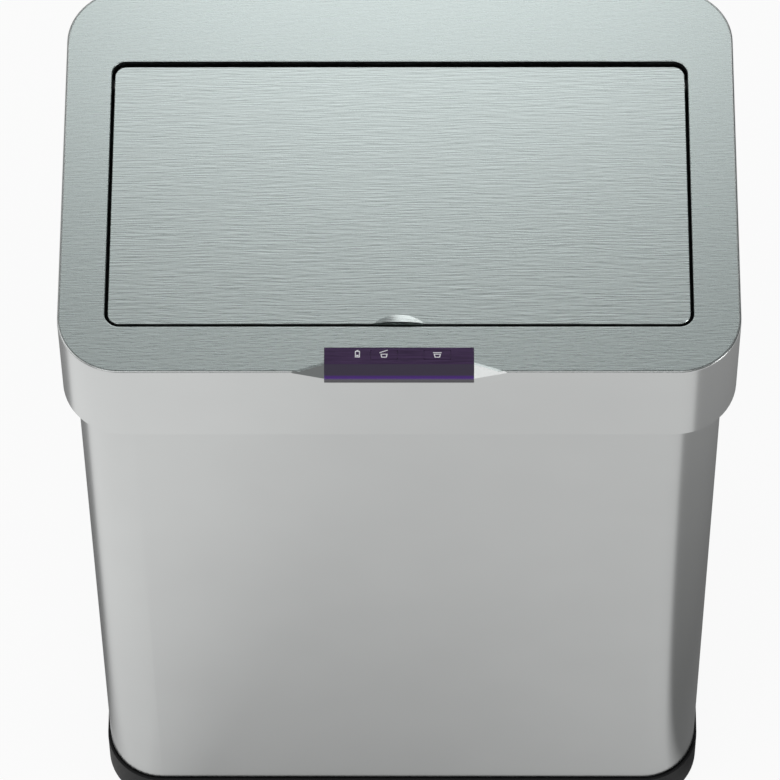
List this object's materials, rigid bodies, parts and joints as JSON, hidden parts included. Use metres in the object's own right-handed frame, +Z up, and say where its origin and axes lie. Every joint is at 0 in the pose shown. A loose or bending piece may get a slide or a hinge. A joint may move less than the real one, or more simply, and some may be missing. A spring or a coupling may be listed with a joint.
{
  "type": "sensor trash can",
  "caption": "Free-standing rectangular kitchen bin with a motor-driven lid, sensor window, lift-off head, bag ring and black base.",
  "frame": {"origin": "centre of the footprint on the floor", "axes": "+Z up, front with the sensor window towards -Y, +X to the right seen from the front"},
  "size_m": [0.413, 0.2798, 0.5824],
  "materials": {
    "brushed_plate": "brushed along the long side",
    "satin_shell": "satin silver",
    "satin_steel": "satin",
    "black_moulding": "fine grain",
    "black_rubber": "matte",
    "tinted_window": "gloss, tinted",
    "tinted_key": "gloss, tinted",
    "circuit_board": "solder mask",
    "switch_plastic": "gloss",
    "bare_steel": "bright",
    "clear_diode": "clear red",
    "dark_diode": "dark clear",
    "gear_plastic": "natural nylon",
    "motor_steel": "plated",
    "pinion_brass": "turned",
    "filter_felt": "felt",
    "cell_jacket": "printed sleeve, bare"
  },
  "bodies": {
    "bin": {"body_sleeve": "satin_steel", "base_tray": "black_moulding", "rubber_feet": "black_rubber"},
    "bag_ring": {"bag_ring": "black_moulding"},
    "head": {"lower_housing": "black_moulding", "upper_housing": "satin_shell", "top_trim": "brushed_plate", "sensor_window": "tinted_window", "main_board": "circuit_board", "key_switches": "switch_plastic", "battery_light": "clear_diode", "ir_emitter": "dark_diode", "ir_receiver": "dark_diode", "gearbox_plate": "black_moulding", "gearbox_cover": "black_moulding", "gear_axles": "bare_steel", "motor_can": "motor_steel", "hinge_bushings": "gear_plastic", "lid_bumpers": "black_rubber", "housing_screws": "bare_steel", "battery_box": "black_moulding", "batteries": "cell_jacket", "battery_contacts": "bare_steel", "dc_jack": "switch_plastic", "switch_body": "switch_plastic"},
    "lid": {"lid_skin": "brushed_plate", "lid_tray": "black_moulding", "carbon_filter": "filter_felt", "filter_grille": "black_moulding", "drive_shaft": "bare_steel", "hinge_pin": "bare_steel", "lid_gear": "gear_plastic"},
    "compound_gear_low": {"compound_gear_low": "gear_plastic"},
    "compound_gear_high": {"compound_gear_high": "gear_plastic"},
    "motor_rotor": {"motor_rotor": "pinion_brass"},
    "open_key": {"open_key": "tinted_key"},
    "close_key": {"close_key": "tinted_key"},
    "power_rocker": {"power_rocker": "switch_plastic"},
    "battery_door": {"battery_door": "black_moulding"}
  },
  "joints": [
    {"name": "bag_ring_lift", "type": "slide", "parent": "bin", "child": "bag_ring", "axis": [0, 0, 1], "range_m": [0, 0.08]},
    {"name": "head_lift", "type": "slide", "parent": "bag_ring", "child": "head", "axis": [0, 0, 1], "range_m": [0, 0.12]},
    {"name": "lid_hinge", "type": "hinge", "parent": "head", "child": "lid", "pos_m": [0, 0.07185, 0.571], "axis": [-1, 0, 0], "range_deg": [0, 85]},
    {"name": "low_gear_turn", "type": "hinge", "parent": "head", "child": "compound_gear_low", "pos_m": [-0.1811, 0.07185, 0.548], "axis": [-1, 0, 0], "range_deg": [-307, 0]},
    {"name": "high_gear_turn", "type": "hinge", "parent": "head", "child": "compound_gear_high", "pos_m": [-0.1811, 0.08785, 0.548], "axis": [-1, 0, 0], "range_deg": [0, 919]},
    {"name": "motor_turn", "type": "hinge", "parent": "head", "child": "motor_rotor", "pos_m": [-0.1811, 0.09985, 0.548], "axis": [-1, 0, 0], "range_deg": [-2755, 0]},
    {"name": "open_key_press", "type": "slide", "parent": "head", "child": "open_key", "axis": [0, 0, -1], "range_m": [0, 0.0006], "stiffness_N_per_m": 400},
    {"name": "close_key_press", "type": "slide", "parent": "head", "child": "close_key", "axis": [0, 0, -1], "range_m": [0, 0.0006], "stiffness_N_per_m": 400},
    {"name": "power_rocker_tilt", "type": "hinge", "parent": "head", "child": "power_rocker", "pos_m": [0.158, 0.13255, 0.5567], "axis": [-1, 0, 0], "range_deg": [0, 16]},
    {"name": "battery_door_hinge", "type": "hinge", "parent": "head", "child": "battery_door", "pos_m": [0.015, 0.13775, 0.5342], "axis": [-1, 0, 0], "range_deg": [0, 85]}
  ],
  "couplings": [
    {"joint": "low_gear_turn", "follows": "lid_hinge", "ratio": -3.6},
    {"joint": "high_gear_turn", "follows": "lid_hinge", "ratio": 10.8},
    {"joint": "motor_turn", "follows": "lid_hinge", "ratio": -32.4}
  ]
}
